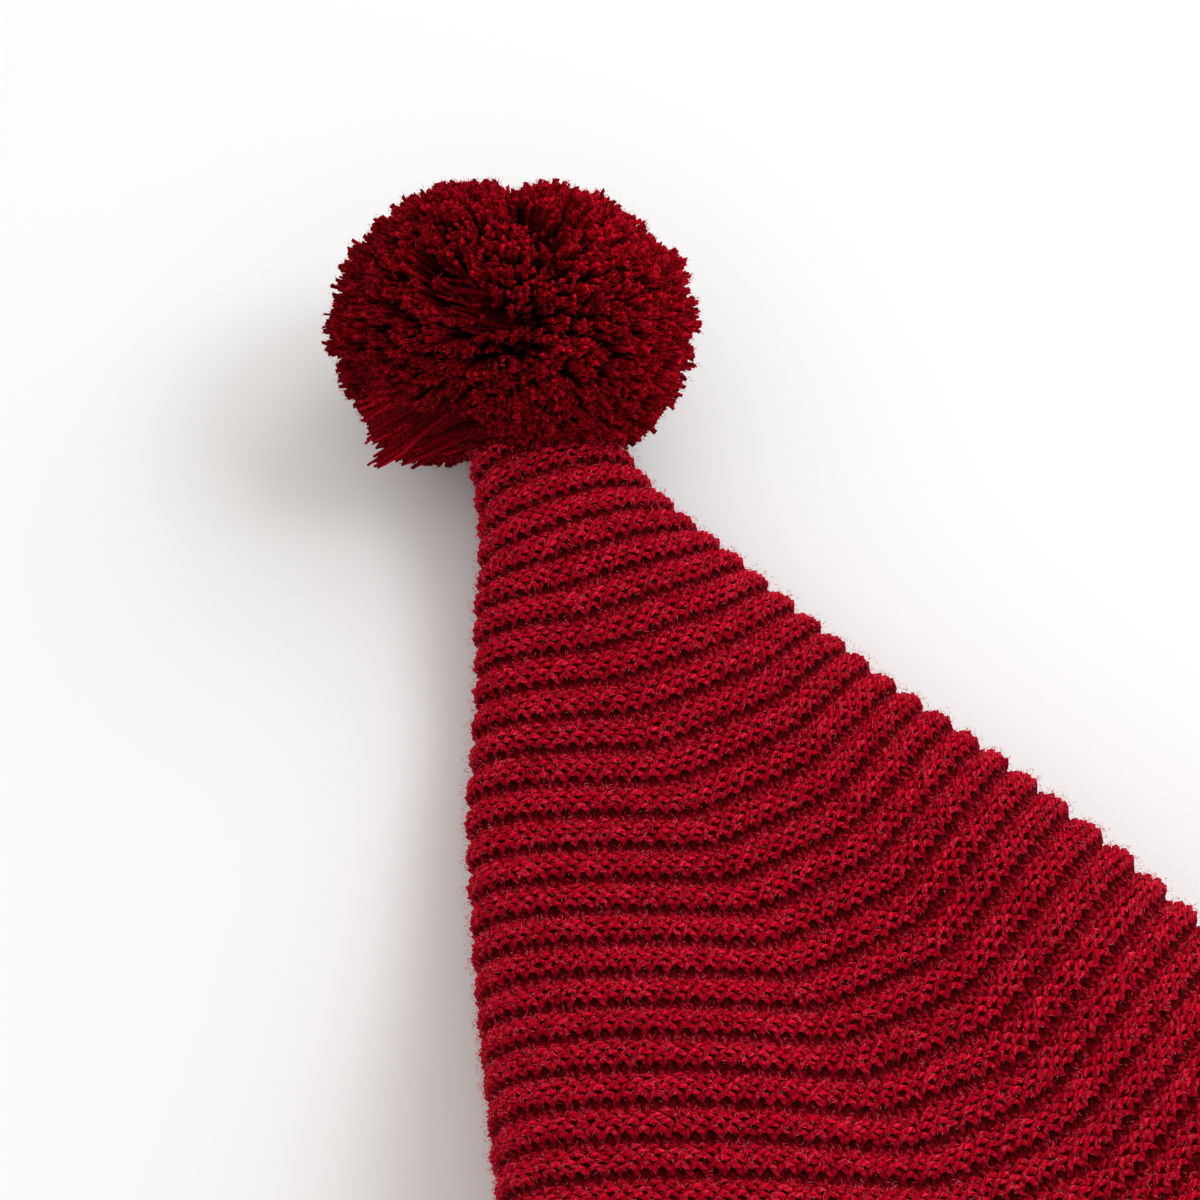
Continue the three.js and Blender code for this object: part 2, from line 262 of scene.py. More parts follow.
# many tubes with closed ends: paths (tubes, points, 3), radii (tubes, points), one way across for each
def tubes(name, material, paths, radii, reference, sides, shade, rough):
    count, points, _ = paths.shape
    tangent = unit(np.gradient(paths, axis=1))
    side = unit(np.cross(tangent, reference[:, None, :]))
    other = np.cross(tangent, side)
    angle = np.arange(sides) / sides * 2 * math.pi
    ring = side[:, :, None] * np.cos(angle)[:, None] + other[:, :, None] * np.sin(angle)[:, None]
    vertices = paths[:, :, None] + ring * radii[:, :, None, None]
    vertices += random.normal(0, 1, vertices.shape) * rough
    vertices[..., 2] = np.maximum(vertices[..., 2], 0.0)

    # four corners to each face of the sides, then both ends
    base = (np.arange(count) * points * sides)[:, None, None, None]
    ringIndex = np.arange(points - 1)[None, :, None, None] * sides
    sideIndex = np.arange(sides)[None, None, :, None]
    corner = np.array([0, 1, 1, 0])
    nextRing = np.array([0, 0, 1, 1]) * sides
    quads = base + ringIndex + (sideIndex + corner) % sides + nextRing
    first = np.arange(sides)[::-1][None] + (np.arange(count) * points * sides)[:, None]
    last = np.arange(sides)[None] + (np.arange(count) * points * sides + (points - 1) * sides)[:, None]
    corners = np.concatenate([quads.ravel(), first.ravel(), last.ravel()])
    quadCount = count * (points - 1) * sides
    sizes = np.concatenate([np.full(quadCount, 4), np.full(2 * count, sides)])

    # UV in mm along the yarn and once round it
    steps = np.linalg.norm(np.diff(paths, axis=1), axis=2)
    length = np.concatenate([np.zeros((count, 1)), np.cumsum(steps, axis=1)], axis=1)
    start = random.random(count)[:, None]
    along = (length + start * yarnShift)[:, :, None, None]
    quadU = np.concatenate([along[:, :-1], along[:, :-1], along[:, 1:], along[:, 1:]], axis=3)
    quadU = np.broadcast_to(quadU, (count, points - 1, sides, 4))
    quadV = np.broadcast_to((sideIndex + corner) / sides, (count, points - 1, sides, 4))
    capU = np.concatenate([np.repeat(along[:, 0, 0, 0], sides), np.repeat(along[:, -1, 0, 0], sides)])
    uvs = np.stack([
        np.concatenate([quadU.ravel(), capU]),
        np.concatenate([quadV.ravel(), np.zeros(2 * count * sides)]),
    ], axis=1)
    # tone differs at random from tube to tube; shade is painted shade along each tube, multiplied into the
    # wool's colour
    marks = {
        "tone": np.repeat(random.random(count), points * sides),
        "shade": np.repeat(np.broadcast_to(shade, (count, points)).ravel(), sides),
    }
    return pieceFromArrays(name, material, vertices.reshape(-1, 3), corners, sizes, marks, uvs)


# shared node helpers
def newMaterial(name, roughness, specular):
    material = bpy.data.materials.new(name)
    material.use_nodes = True
    shader = material.node_tree.nodes["Principled BSDF"]
    shader.inputs["Roughness"].default_value = roughness
    shader.inputs["Specular IOR Level"].default_value = specular
    return material, material.node_tree, shader


def addNode(tree, kind, values=None, **settings):
    node = tree.nodes.new(kind)
    for key, value in settings.items():
        setattr(node, key, value)
    for key, value in (values or {}).items():
        node.inputs[key].default_value = value
    return node


def mathNode(tree, operation, *inputs):
    node = addNode(tree, "ShaderNodeMath", operation=operation)
    for socket, value in zip(node.inputs, inputs):
        if isinstance(value, (int, float)):
            socket.default_value = value
        else:
            tree.links.new(value, socket)
    return node.outputs[0]


def markNode(tree, mark):
    return addNode(tree, "ShaderNodeAttribute", attribute_name=mark).outputs["Fac"]


def yarnPlace(tree):
    uv = addNode(tree, "ShaderNodeUVMap", uv_map="yarn")
    parts = addNode(tree, "ShaderNodeSeparateXYZ")
    tree.links.new(uv.outputs["UV"], parts.inputs[0])
    return parts.outputs["X"], parts.outputs["Y"]


def noiseNode(tree, place, scale, detail, roughness):
    values = {"Scale": scale, "Detail": detail, "Roughness": roughness}
    noise = addNode(tree, "ShaderNodeTexNoise", values)
    tree.links.new(place, noise.inputs["Vector"])
    return noise.outputs["Fac"]


def objectNoise(tree, scale, detail, roughness):
    return noiseNode(tree, addNode(tree, "ShaderNodeTexCoord").outputs["Object"], scale, detail, roughness)


def rangeNode(tree, value, fromMin, fromMax, toMin, toMax):
    values = {"From Min": fromMin, "From Max": fromMax, "To Min": toMin, "To Max": toMax}
    node = addNode(tree, "ShaderNodeMapRange", values)
    tree.links.new(value, node.inputs["Value"])
    return node.outputs["Result"]


def rampNode(tree, value, stops):
    node = addNode(tree, "ShaderNodeValToRGB")
    elements = node.color_ramp.elements
    for element, (position, colour) in zip(elements, (stops[0], stops[-1])):
        element.position = position
        element.color = colour
    for position, colour in stops[1:-1]:
        elements.new(position).color = colour
    tree.links.new(value, node.inputs["Fac"])
    return node.outputs["Color"]


def linkColour(tree, shader, dye, level):
    scaled = addNode(tree, "ShaderNodeVectorMath", operation="SCALE")
    tree.links.new(dye, scaled.inputs[0])
    tree.links.new(level, scaled.inputs["Scale"])
    tree.links.new(scaled.outputs[0], shader.inputs["Base Color"])


def linkBump(tree, shader, height, strength, distance):
    bump = addNode(tree, "ShaderNodeBump", {"Strength": strength, "Distance": distance})
    tree.links.new(height, bump.inputs["Height"])
    tree.links.new(bump.outputs["Normal"], shader.inputs["Normal"])


# two-ply yarn, streaked along its fibres
def woolMaterial(name, look):
    material, tree, shader = newMaterial(name, look["roughness"], look["specular"])
    shader.inputs["Sheen Weight"].default_value = look["sheen"]
    shader.inputs["Sheen Roughness"].default_value = look["sheenRoughness"]
    shader.inputs["Sheen Tint"].default_value = look["sheenTint"]

    # plies: two grooves that wind round the yarn, in the bump and as painted shade in the colour
    along, aroundYarn = yarnPlace(tree)
    turns = mathNode(tree, "MULTIPLY_ADD", along, 1 / look["twistLength"], aroundYarn)
    wave = mathNode(tree, "SINE", mathNode(tree, "MULTIPLY", turns, 4 * math.pi))
    ply = rangeNode(tree, wave, -1.0, look["plyWidth"], 0.0, 1.0)

    # fibres run along the twist; each yarn has its own
    tone = markNode(tree, "tone")
    lane = addNode(tree, "ShaderNodeCombineXYZ")
    tree.links.new(mathNode(tree, "MULTIPLY", along, look["fibreStretch"]), lane.inputs[0])
    tree.links.new(mathNode(tree, "MULTIPLY", turns, look["fibreCount"]), lane.inputs[1])
    tree.links.new(mathNode(tree, "MULTIPLY", tone, look["yarnsApart"]), lane.inputs[2])
    fibre = noiseNode(tree, lane.outputs[0], scale=1.0, detail=3.0, roughness=0.6)
    mottle = objectNoise(tree, look["mottleScale"], detail=3.0, roughness=0.65)

    # colour: dye varies by fibre, patch and yarn; painted shade darkens it in the ply grooves and, from
    # the shade mark, deep between yarns
    dyeLevel = mathNode(tree, "MULTIPLY", fibre, look["fibreShare"])
    dyeLevel = mathNode(tree, "MULTIPLY_ADD", mottle, look["mottleShare"], dyeLevel)
    dyeLevel = mathNode(tree, "MULTIPLY_ADD", tone, look["toneShare"], dyeLevel)
    colours = (look["dark"], look["light"], look["fleck"])
    dye = rampNode(tree, dyeLevel, list(zip(look["dyeStops"], colours)))
    grooveShade = rangeNode(tree, ply, 0.0, 1.0, 1 - look["grooveShade"], 1.0)
    linkColour(tree, shader, dye, mathNode(tree, "MULTIPLY", grooveShade, markNode(tree, "shade")))
    height = mathNode(tree, "MULTIPLY_ADD", fibre, look["fibreHeight"], ply)
    height = mathNode(tree, "MULTIPLY_ADD", mottle, look["mottleHeight"], height)
    linkBump(tree, shader, height, look["bump"], look["bumpDepth"])
    return material


# what both wools share: lengths along the yarn in mm, depth of the bump in metres
wool = {
    "roughness": 1.0,
    "sheenRoughness": 0.5,
    "twistLength": 2.6,
    "plyWidth": 0.3,
    "fibreStretch": 0.9,
    "yarnsApart": 60.0,
    "dyeStops": (0.38, 0.56, 0.72),
    "fibreHeight": 0.7,
    "mottleHeight": 1.2,
    "bump": 0.9,
    "bumpDepth": 0.0004,
}
crownWool = woolMaterial("crownWool", wool | {
    "dark": (0.32, 0.0006, 0.006, 1),
    "light": (0.76, 0.001, 0.025, 1),
    "fleck": (1.00, 0.045, 0.085, 1),
    "specular": 0.02,
    "sheen": 0.26,
    "sheenTint": (1.0, 0.05, 0.11, 1),
    "fibreCount": 9.0,
    "fibreShare": 0.53,
    "mottleScale": 1500.0,
    "mottleShare": 0.39,
    "toneShare": 0.12,
    "grooveShade": 0.5,
})
pompomWool = woolMaterial("pompomWool", wool | {
    "dark": (0.08, 0.0001, 0.001, 1),
    "light": (0.245, 0.0003, 0.004, 1),
    "fleck": (0.62, 0.004, 0.016, 1),
    "specular": 0.01,
    "sheen": 0.20,
    "sheenTint": (1.0, 0.03, 0.08, 1),
    "fibreCount": 8.0,
    "fibreShare": 0.45,
    "mottleScale": 1300.0,
    "mottleShare": 0.40,
    "toneShare": 0.25,
    "grooveShade": 0.2,
})


# fine hairs: their pale colours are painted light, standing in for light that shines through the fibres;
# each has its own tone
def fuzzMaterial(name, dark, light):
    material, tree, shader = newMaterial(name, roughness=1.0, specular=0.03)
    dye = rampNode(tree, markNode(tree, "tone"), [(0.0, dark), (1.0, light)])
    tree.links.new(dye, shader.inputs["Base Color"])
    return material


crownFuzz = fuzzMaterial("crownFuzz", (0.60, 0.006, 0.030, 1), (1.0, 0.17, 0.20, 1))
pompomFuzz = fuzzMaterial("pompomFuzz", (0.20, 0.0005, 0.004, 1), (0.85, 0.020, 0.045, 1))


# ground between the yarns and the knit of the inner face: ridgePlace grows by 1 over each ridge, and
# painted shade makes the cloth darkest under the ridge's last row, in the holes between stitches; the UV
# counts once round and by rows along
def clothMaterial(name, look):
    material, tree, shader = newMaterial(name, look["roughness"], look["specular"])
    noise = objectNoise(tree, look["noiseScale"], detail=4.0, roughness=0.7)
    dye = rampNode(tree, noise, list(zip(look["dyeStops"], (look["dark"], look["light"]))))
    within = mathNode(tree, "FRACT", markNode(tree, "ridgePlace"))
    depth = rampNode(tree, within, [(place, (level, level, level, 1)) for place, level in look["levels"]])

    # knit stitches: two slanting legs in every column, in the bump and with painted shade between them
    aroundShare, row = yarnPlace(tree)
    column = mathNode(tree, "FRACT", mathNode(tree, "MULTIPLY", aroundShare, look["columns"]))
    fromMiddle = mathNode(tree, "ABSOLUTE", mathNode(tree, "SUBTRACT", column, 0.5))
    leg = mathNode(tree, "SINE", mathNode(tree, "MULTIPLY", fromMiddle, 2 * math.pi))
    slant = mathNode(tree, "MULTIPLY_ADD", fromMiddle, look["legSlant"], row)
    strand = mathNode(tree, "SINE", mathNode(tree, "MULTIPLY", slant, 2 * math.pi))
    knit = mathNode(tree, "MULTIPLY", leg, mathNode(tree, "MULTIPLY_ADD", strand, *look["rowWave"]))
    level = mathNode(tree, "MULTIPLY", depth, mathNode(tree, "MULTIPLY_ADD", knit, *look["knitLevel"]))
    linkColour(tree, shader, dye, level)
    height = mathNode(tree, "MULTIPLY_ADD", noise, look["noiseHeight"], knit)
    linkBump(tree, shader, height, look["bump"], look["bumpDepth"])
    return material


groundWool = clothMaterial("groundWool", {
    "dark": (0.20, 0.0004, 0.004, 1),
    "light": (0.48, 0.002, 0.014, 1),
    "dyeStops": (0.35, 0.70),
    "roughness": 0.95,
    "specular": 0.05,
    # place on the ridge, brightness of the painted shade
    "levels": [
        (0.0, 0.70), (0.10, 0.60), (0.50, 0.52), (0.66, 0.24), (0.78, 0.24), (0.90, 0.80), (1.0, 0.70),
    ],
    "noiseScale": 420.0,
    "columns": 132.0,
    "legSlant": 1.3,
    "rowWave": (0.45, 0.55),
    "knitLevel": (0.75, 0.45),
    "noiseHeight": 0.5,
    "bump": 0.9,
    "bumpDepth": 0.0008,
})


# every vertex of a shape goes to its place in mm and keeps its place on a ridge for the material
def placeShape(shape, points, ridgePlaces):
    mark = shape.verts.layers.float.new("ridgePlace")
    for vertex, point, ridgePlace in zip(shape.verts, (points + toFrame) * millimetre, ridgePlaces):
        vertex.co = point
        vertex[mark] = ridgePlace
    return mark


def pieceFromShape(name, material, shape):
    for face in shape.faces:
        face.smooth = True
    mesh = bpy.data.meshes.new(name)
    shape.to_mesh(mesh)
    shape.free()
    return finishPiece(mesh, material)


# crown cloth: the ground under the stitches, outside and inside, in one closed skin; lengths in mm
cloth = {
    "columns": 120,
    "outerRings": 4,  # to a ridge
    "innerRings": 2,
    "innerStart": 0.03,  # course of the inner face's tip
    "innerRidge": 0.6,  # how far the inner face follows the ridges outwards
    "innerPlace": 0.92,  # place on a ridge that gives the inner face its brightness
    "sink": 1.1,
    "lowest": 0.3,
    "tipRise": 0.8,
    "seamGap": 0.001,
    "rowsToRidge": 5,
}


# a flat sheet is rolled up: its x runs once round the crown, its y from tip to brim and back inside
def buildCloth():
    ridges = crown["ridges"]
    outerCourse = np.linspace(0, 1, ridges * cloth["outerRings"] + 1)
    innerCourse = np.linspace(1, cloth["innerStart"], (ridges - 1) * cloth["innerRings"] + 1)
    outerRise = ridgeRise(outerCourse * ridges % 1.0) - cloth["sink"]
    innerRise = cloth["innerRidge"] * np.sin(math.pi * innerCourse * ridges) ** 2 - crown["wall"]
    innerPlaces = np.full(len(innerCourse), cloth["innerPlace"])
    course = np.concatenate([outerCourse, innerCourse])
    rise = np.concatenate([outerRise, innerRise])
    ridgePlaces = np.concatenate([outerCourse * ridges, innerPlaces])

    shape = bmesh.new()
    bmesh.ops.create_grid(shape, x_segments=cloth["columns"], y_segments=len(course) - 1, size=0.5)
    sheet = np.array([vertex.co for vertex in shape.verts]) + 0.5
    around = np.rint(sheet[:, 0] * cloth["columns"]) / cloth["columns"]
    ring = np.rint(sheet[:, 1] * (len(course) - 1)).astype(int)
    points, _ = offsetPoint(course[ring], around, rise[ring])
    outside = ring < len(outerCourse)
    points[outside, 2] = np.maximum(points[outside, 2], cloth["lowest"])
    mark = placeShape(shape, points, ridgePlaces[ring])
    yarnUv = shape.loops.layers.uv.new("yarn")
    for vertex, share, row in zip(shape.verts, around, course[ring] * ridges * cloth["rowsToRidge"]):
        for loop in vertex.link_loops:
            loop[yarnUv].uv = (share, row)

    # the seam is joined and both tips are closed
    bmesh.ops.remove_doubles(shape, verts=shape.verts, dist=cloth["seamGap"] * millimetre)
    openEdges = [edge for edge in shape.edges if edge.is_boundary]
    caps = bmesh.ops.holes_fill(shape, edges=openEdges, sides=0)["faces"]
    for vertex in bmesh.ops.poke(shape, faces=caps, center_mode="MEAN")["verts"]:
        vertex.co.y += cloth["tipRise"] * millimetre
        vertex[mark] = cloth["innerPlace"]
    bmesh.ops.recalc_face_normals(shape, faces=shape.faces)
    return pieceFromShape("crownCloth", groundWool, shape)


crownCloth = buildCloth()

# stitches: rows of purl arches on every ridge and pairs of knit legs in every valley; lengths in mm,
# uneven values are the most that a stitch differs by
stitch = {
    "pitch": 2.52,
    "yarnRadius": 0.55,
    "sink": 0.55,
    "lowestCentre": 0.45,
    # the upper side ends a little under the left fold and starts again a little under the right one
    "upperTo": 0.56,
    "upperFrom": 0.94,
    # a row's stretches lie between the folds and the middle strips, each with a whole number of stitches
    "stretchEdges": [0.0, 0.19, 0.30, 0.5, 0.70, 0.81, 1.0],
    "rowSteps": 721,
}
arch = {
    # within the ridge, sideways shift, bow, size, painted shade that darkens the rows next to the valleys
    # and lightens those on the crest
    "rows": [
        (0.05, 0.0, 0.26, 0.92, 0.90),
        (0.25, 0.5, 0.30, 0.98, 1.08),
        (0.45, 0.0, 0.34, 1.00, 1.05),
        (0.66, 0.5, 0.56, 1.08, 0.82),
    ],
    # last row before the brim: share of a ridge from it, rise, bow, size, painted shade
    "lastRow": (0.13, -0.1, 0.3, 1.0, 0.85),
    # ridges from the tip that make up the first piece
    "tipRidges": 24,
    "span": 1.10,
    "spanUneven": 0.09,
    "leanUneven": 0.22,
    "bowMiddle": 0.4,
    "bowUneven": 0.3,
    "rowUneven": 0.13,
    # how deep the ends dive
    "dive": 1.25,
    "divePower": 2.2,
    "depthUneven": 0.14,
    "thicknessUneven": 0.10,
    "shadeUneven": 0.10,
    # how much thinner the ends are, and how much painted shade darkens them where they dive under
    "endThinner": 0.25,
    "endDarker": 0.3,
    "rough": 0.08,
}
leg = {
    "within": 0.96,
    "rise": -0.60,
    # half the way between the two legs and how much closer they come brimwards, as shares of the pitch
    "apart": 0.25,
    "lean": 0.07,
    "halfLength": 1.25,
    "sink": 0.10,
    "curl": 0.50,
    "uneven": 0.10,
    "thickness": 0.8,
    # painted shade along each leg: dark at its tipward end under the ridge's last row, lighter at its
    # brimward end
    "shade": (0.52, 0.85),
    "rough": 0.05,
}


# a row's points and the distance along it
def rowLine(course, rise):
    around = np.linspace(0, 1, stitch["rowSteps"])
    points, outward = offsetPoint(np.full(len(around), course), around, np.full(len(around), rise))
    lengths = np.concatenate([[0], np.cumsum(np.linalg.norm(np.diff(points, axis=0), axis=1))])
    return around, points, outward, lengths, np.interp(stitch["stretchEdges"], around, lengths)


def stretchCounts(ridge):
    edges = rowLine((ridge + 0.5) / crown["ridges"], 0.5 * crown["ridgeHeight"])[-1]
    return np.maximum(np.rint(np.diff(edges) / stitch["pitch"]), 1).astype(int)


def rowPlaces(course, rise, shift, counts):
    around, points, outward, lengths, edges = rowLine(course, rise)
    place = np.concatenate([
        start + (np.arange(count) + 0.5 + shift) * (end - start) / count
        for start, end, count in zip(edges[:-1], edges[1:], counts)
    ]) % lengths[-1]
    tangentRow = unit(np.gradient(points, axis=0))

    def pick(values):
        return np.stack([np.interp(place, lengths, values[:, i]) for i in range(3)], axis=1)

    centre = pick(points)
    tangent = unit(pick(tangentRow))
    normal = pick(outward)
    normal = unit(normal - tangent * np.sum(normal * tangent, axis=1, keepdims=True))
    return centre, tangent, normal, np.interp(place, lengths, around)


# shares a row out between the upper side and the underside
def addRow(groups, kind, places, look):
    centre, tangent, normal, around = places
    upper = (around < stitch["upperTo"]) | (around > stitch["upperFrom"])
    for side, here in (("top", upper), ("under", ~upper)):
        groups[side + kind].append((centre[here], tangent[here], normal[here], *look))


def gatherStitches():
    ridges = crown["ridges"]
    groups = {"topArch": [], "underArch": [], "topLeg": [], "underLeg": []}
    for ridge in range(1, ridges):
        counts = stretchCounts(ridge)
        for within, shift, *look in arch["rows"]:
            rise = ridgeRise(within) - stitch["sink"]
            addRow(groups, "Arch", rowPlaces((ridge + within) / ridges, rise, shift, counts), look)
        if ridge + 1 < ridges:
            legPlaces = rowPlaces((ridge + leg["within"]) / ridges, leg["rise"], 0.0, counts)
            addRow(groups, "Leg", legPlaces, [])
    # the last ridge's stitches are bound off in one more row
    fromBrim, rise, *look = arch["lastRow"]
    centre, tangent, normal, _ = rowPlaces(1 - fromBrim / ridges, rise, 0.0, counts)
    groups["topArch"].append((centre, tangent, normal, *look))
    return groups


# paths of stitches from their offsets along the row, towards the brim and outwards
def localPaths(centre, tangent, normal, offsets):
    brimward = np.cross(normal, tangent)
    paths = (
        centre[:, None]
        + tangent[:, None] * offsets[..., 0:1]
        + brimward[:, None] * offsets[..., 1:2]
        + normal[:, None] * offsets[..., 2:3]
    )
    paths[..., 2] = np.maximum(paths[..., 2], stitch["lowestCentre"])
    return paths


def joinOffsets(sideways, brimward, outward):
    return np.stack(np.broadcast_arrays(sideways, brimward, outward), axis=-1)


def jitter(count, amount):
    return (random.random(count) * 2 - 1) * amount


def archOffsets(count, points, bow, size):
    place = np.linspace(-1, 1, points)[None]
    span = stitch["pitch"] * arch["span"] * (1 + jitter(count, arch["spanUneven"]))[:, None]
    lean = jitter(count, arch["leanUneven"])[:, None]
    rise = bow * (1 + jitter(count, arch["bowUneven"]))[:, None]
    brimward = rise * (place**2 - arch["bowMiddle"]) * 2 + lean * place
    brimward = brimward + jitter(count, arch["rowUneven"])[:, None]
    outward = -arch["dive"] * size * np.abs(place) ** arch["divePower"]
    outward = outward + jitter(count, arch["depthUneven"])[:, None]
    return joinOffsets(place * span / 2, brimward, outward)


def legOffsets(count, points, hand):
    place = np.linspace(-1, 1, points)[None]
    sideways = hand * stitch["pitch"] * (leg["apart"] - leg["lean"] * place)
    sideways = sideways + jitter(count, leg["uneven"])[:, None]
    outward = -leg["sink"] + leg["curl"] * place**2 + jitter(count, leg["uneven"])[:, None]
    return joinOffsets(sideways, leg["halfLength"] * place, outward)


def buildArches(name, rows, points, sides):
    paths = []
    radii = []
    references = []
    shades = []
    fromMiddle = np.abs(np.linspace(-1, 1, points))
    for centre, tangent, normal, bow, size, shade in rows:
        count = len(centre)
        paths.append(localPaths(centre, tangent, normal, archOffsets(count, points, bow, size)))
        radius = stitch["yarnRadius"] * size * (1 + jitter(count, arch["thicknessUneven"]))
        radii.append(radius[:, None] * (1 - arch["endThinner"] * fromMiddle**3))
        references.append(np.cross(normal, tangent))
        # painted shade for each stitch: its row's value, a little uneven, darker towards the diving ends
        yarnShade = shade * (1 + jitter(count, arch["shadeUneven"]))[:, None]
        shades.append(yarnShade * (1 - arch["endDarker"] * fromMiddle**3))
    lines = [np.concatenate(values) for values in (paths, radii, references)]
    return tubes(name, crownWool, *lines, sides, np.concatenate(shades), arch["rough"])


def buildLegs(name, rows, points, sides):
    paths = []
    references = []
    for centre, tangent, normal in rows:
        for hand in (-1, 1):
            paths.append(localPaths(centre, tangent, normal, legOffsets(len(centre), points, hand)))
            references.append(tangent)
    paths = np.concatenate(paths)
    radii = np.full(paths.shape[:2], stitch["yarnRadius"] * leg["thickness"])
    shade = np.linspace(*leg["shade"], points)
    return tubes(name, crownWool, paths, radii, np.concatenate(references), sides, shade, leg["rough"])


stitchRows = gatherStitches()
print("arches on top", sum(len(row[0]) for row in stitchRows["topArch"]))
tipRows = arch["tipRidges"] * len(arch["rows"])
topArchesTip = buildArches("topArchesTip", stitchRows["topArch"][:tipRows], points=5, sides=4)
topArchesBrim = buildArches("topArchesBrim", stitchRows["topArch"][tipRows:], points=5, sides=4)
underArches = buildArches("underArches", stitchRows["underArch"], points=3, sides=3)
topLegs = buildLegs("topLegs", stitchRows["topLeg"], points=4, sides=3)
underLegs = buildLegs("underLegs", stitchRows["underLeg"], points=3, sides=3)

# bound-off edge: one slanting stitch after another over the brim's rim, from the inside to the outside
rim = {
    "stitchesToColumn": 1.5,
    "rise": -0.9,
    "halfSpan": 1.55,
    "halfWall": 1.15,
    "inset": 0.45,
    "bulge": 1.1,
    "radius": 0.62,
    "points": 7,
    "sides": 5,
    "uneven": 0.06,
    # how much painted shade darkens the stitch's ends, where they go into the cloth
    "endDarker": 0.4,
    "rough": 0.04,
}


def buildRim():
    counts = np.rint(stretchCounts(crown["ridges"] - 1) * rim["stitchesToColumn"]).astype(int)
    centre, tangent, normal, _ = rowPlaces(1.0, rim["rise"], 0.0, counts)
    place = np.linspace(-1, 1, rim["points"])
    sideways = place * rim["halfSpan"] + jitter(len(centre), rim["uneven"])[:, None]
    brimward = rim["bulge"] * (1 - place**2) - rim["inset"]
    offsets = joinOffsets(sideways, brimward, rim["halfWall"] * place)
    paths = localPaths(centre, tangent, normal, offsets)
    radii = np.full(paths.shape[:2], rim["radius"])
    shade = 1 - rim["endDarker"] * place**4
    reference = np.cross(normal, tangent)
    return tubes("brimEdge", crownWool, paths, radii, reference, rim["sides"], shade, rim["rough"])


brimEdge = buildRim()

# pompom: cut yarn that springs from one middle; the marks are places as seen from above and in front,
# in mm to the right and up of its middle
pompom = {
    "width": 64.0,
    "depth": 49.0,
    "height": 56.5,
    "turn": -26.0,
    "place": (2.9, 20.4, 27.25),
    "seenFrom": 62.6,
    "lowest": 0.5,
    "crownMargin": 2.2,
    "strands": 13600,
    "strandRadius": 0.37,
    "radiusUneven": 0.25,
    # a strand at its root, below its end and at its cut end: place, thickness, painted shade that darkens
    # it deep in the ball
    "strandPlaces": (0.62, 0.945, 1.0),
    "strandThickness": (0.75, 1.0, 1.15),
    "strandShade": (0.15, 0.66, 1.10),
    "strandSides": 3,
    "strandRough": 0.12,
    # painted light: how much lighter the yarn is painted to the right and up in the picture, towards the
    # lamps, and darker on the other side
    "paintedLight": (0.27, 0.25),
    # ends lean together in clumps; the ball is lumpy from a few waves, from slow to quick ones
    "clumps": 800,
    "clumpPull": 0.36,
    "waves": 14,
    "waveNumbers": (7, 26),
    "lumpHeight": 0.07,
    "meanReach": 0.985,
    # unevenness of roots, clumps, ends and reaches as shares of the ball, and of the cut ends in mm
    "rootUneven": 0.013,
    "clumpUneven": 0.03,
    "endUneven": 0.012,
    "clumpReachUneven": 0.012,
    "reachUneven": 0.016,
    "cutUneven": 0.34,
    # where the partings are deeper than the first value, only the second share of the strands grows
    "thinnedFrom": 0.14,
    "thinnedShare": 0.32,
    # angle seen from above, reach as a share of the ellipse
    "outline": [
        (-180, 1.00), (-158, 1.05), (-133, 1.06), (-112, 0.92), (-75, 0.95), (-56, 0.98), (-40, 1.05),
        (-8, 1.01), (30, 1.01), (61, 1.02), (86, 0.99), (104, 1.04), (150, 1.03), (180, 1.00),
    ],
    "outlineFrom": (0.2, 0.9),
    # start and end of each parting, half width, how far it pushes yarn ends aside, how deep it is, which
    # also darkens its strands with painted shade
    "partings": [
        ((-1.0, 25.5), (3.0, 20.0), 0.10, 0.07, 0.08),
        ((3.0, 20.0), (7.0, 14.5), 0.12, 0.08, 0.22),
        ((10.5, 18.5), (13.0, 12.5), 0.08, 0.04, 0.05),
        ((-14.5, 9.0), (-4.5, 3.0), 0.075, 0.06, 0.34),
        ((-12.5, 3.0), (-2.0, 0.0), 0.075, 0.06, 0.36),
        ((-9.5, -3.0), (6.0, -1.0), 0.08, 0.05, 0.34),
        ((8.0, 10.5), (8.0, 7.0), 0.06, 0.03, 0.22),
        ((-6.0, -8.5), (4.5, -6.0), 0.08, 0.05, 0.28),
        ((-3.0, -13.0), (3.0, -12.0), 0.12, 0.03, 0.08),
        ((14.0, 2.0), (16.0, -3.0), 0.07, 0.03, 0.07),
        ((-24.0, -14.0), (-12.0, -21.0), 0.26, 0.0, 0.26),
    ],
    "partingSharpness": 1.5,
    "partingMiddle": 0.03,
}
pompomHalves = np.array([pompom["width"], pompom["depth"], pompom["height"]]) / 2
outlineCurve = monotone(*zip(*pompom["outline"]))
waveNumbers = np.linspace(*pompom["waveNumbers"], pompom["waves"])
waveDirections = unit(random.normal(0, 1, (pompom["waves"], 3))) * waveNumbers[:, None]
wavePhases = random.random(pompom["waves"]) * 2 * math.pi

# right, up and near as ways in the pompom's turned frame
seenElevation = math.radians(pompom["seenFrom"])
rightWay = np.array([1.0, 0.0, 0.0])
upWay = np.array([0.0, math.sin(seenElevation), math.cos(seenElevation)])
nearWay = np.array([0.0, -math.cos(seenElevation), math.sin(seenElevation)])


def pompomRadius(direction):
    flat = np.hypot(direction[..., 0], direction[..., 1])
    angle = np.degrees(np.arctan2(direction[..., 1], direction[..., 0]))
    reach = 1 + (outlineCurve(angle) - 1) * softStep(flat, *pompom["outlineFrom"])
    return reach / np.linalg.norm(direction / pompomHalves, axis=-1)


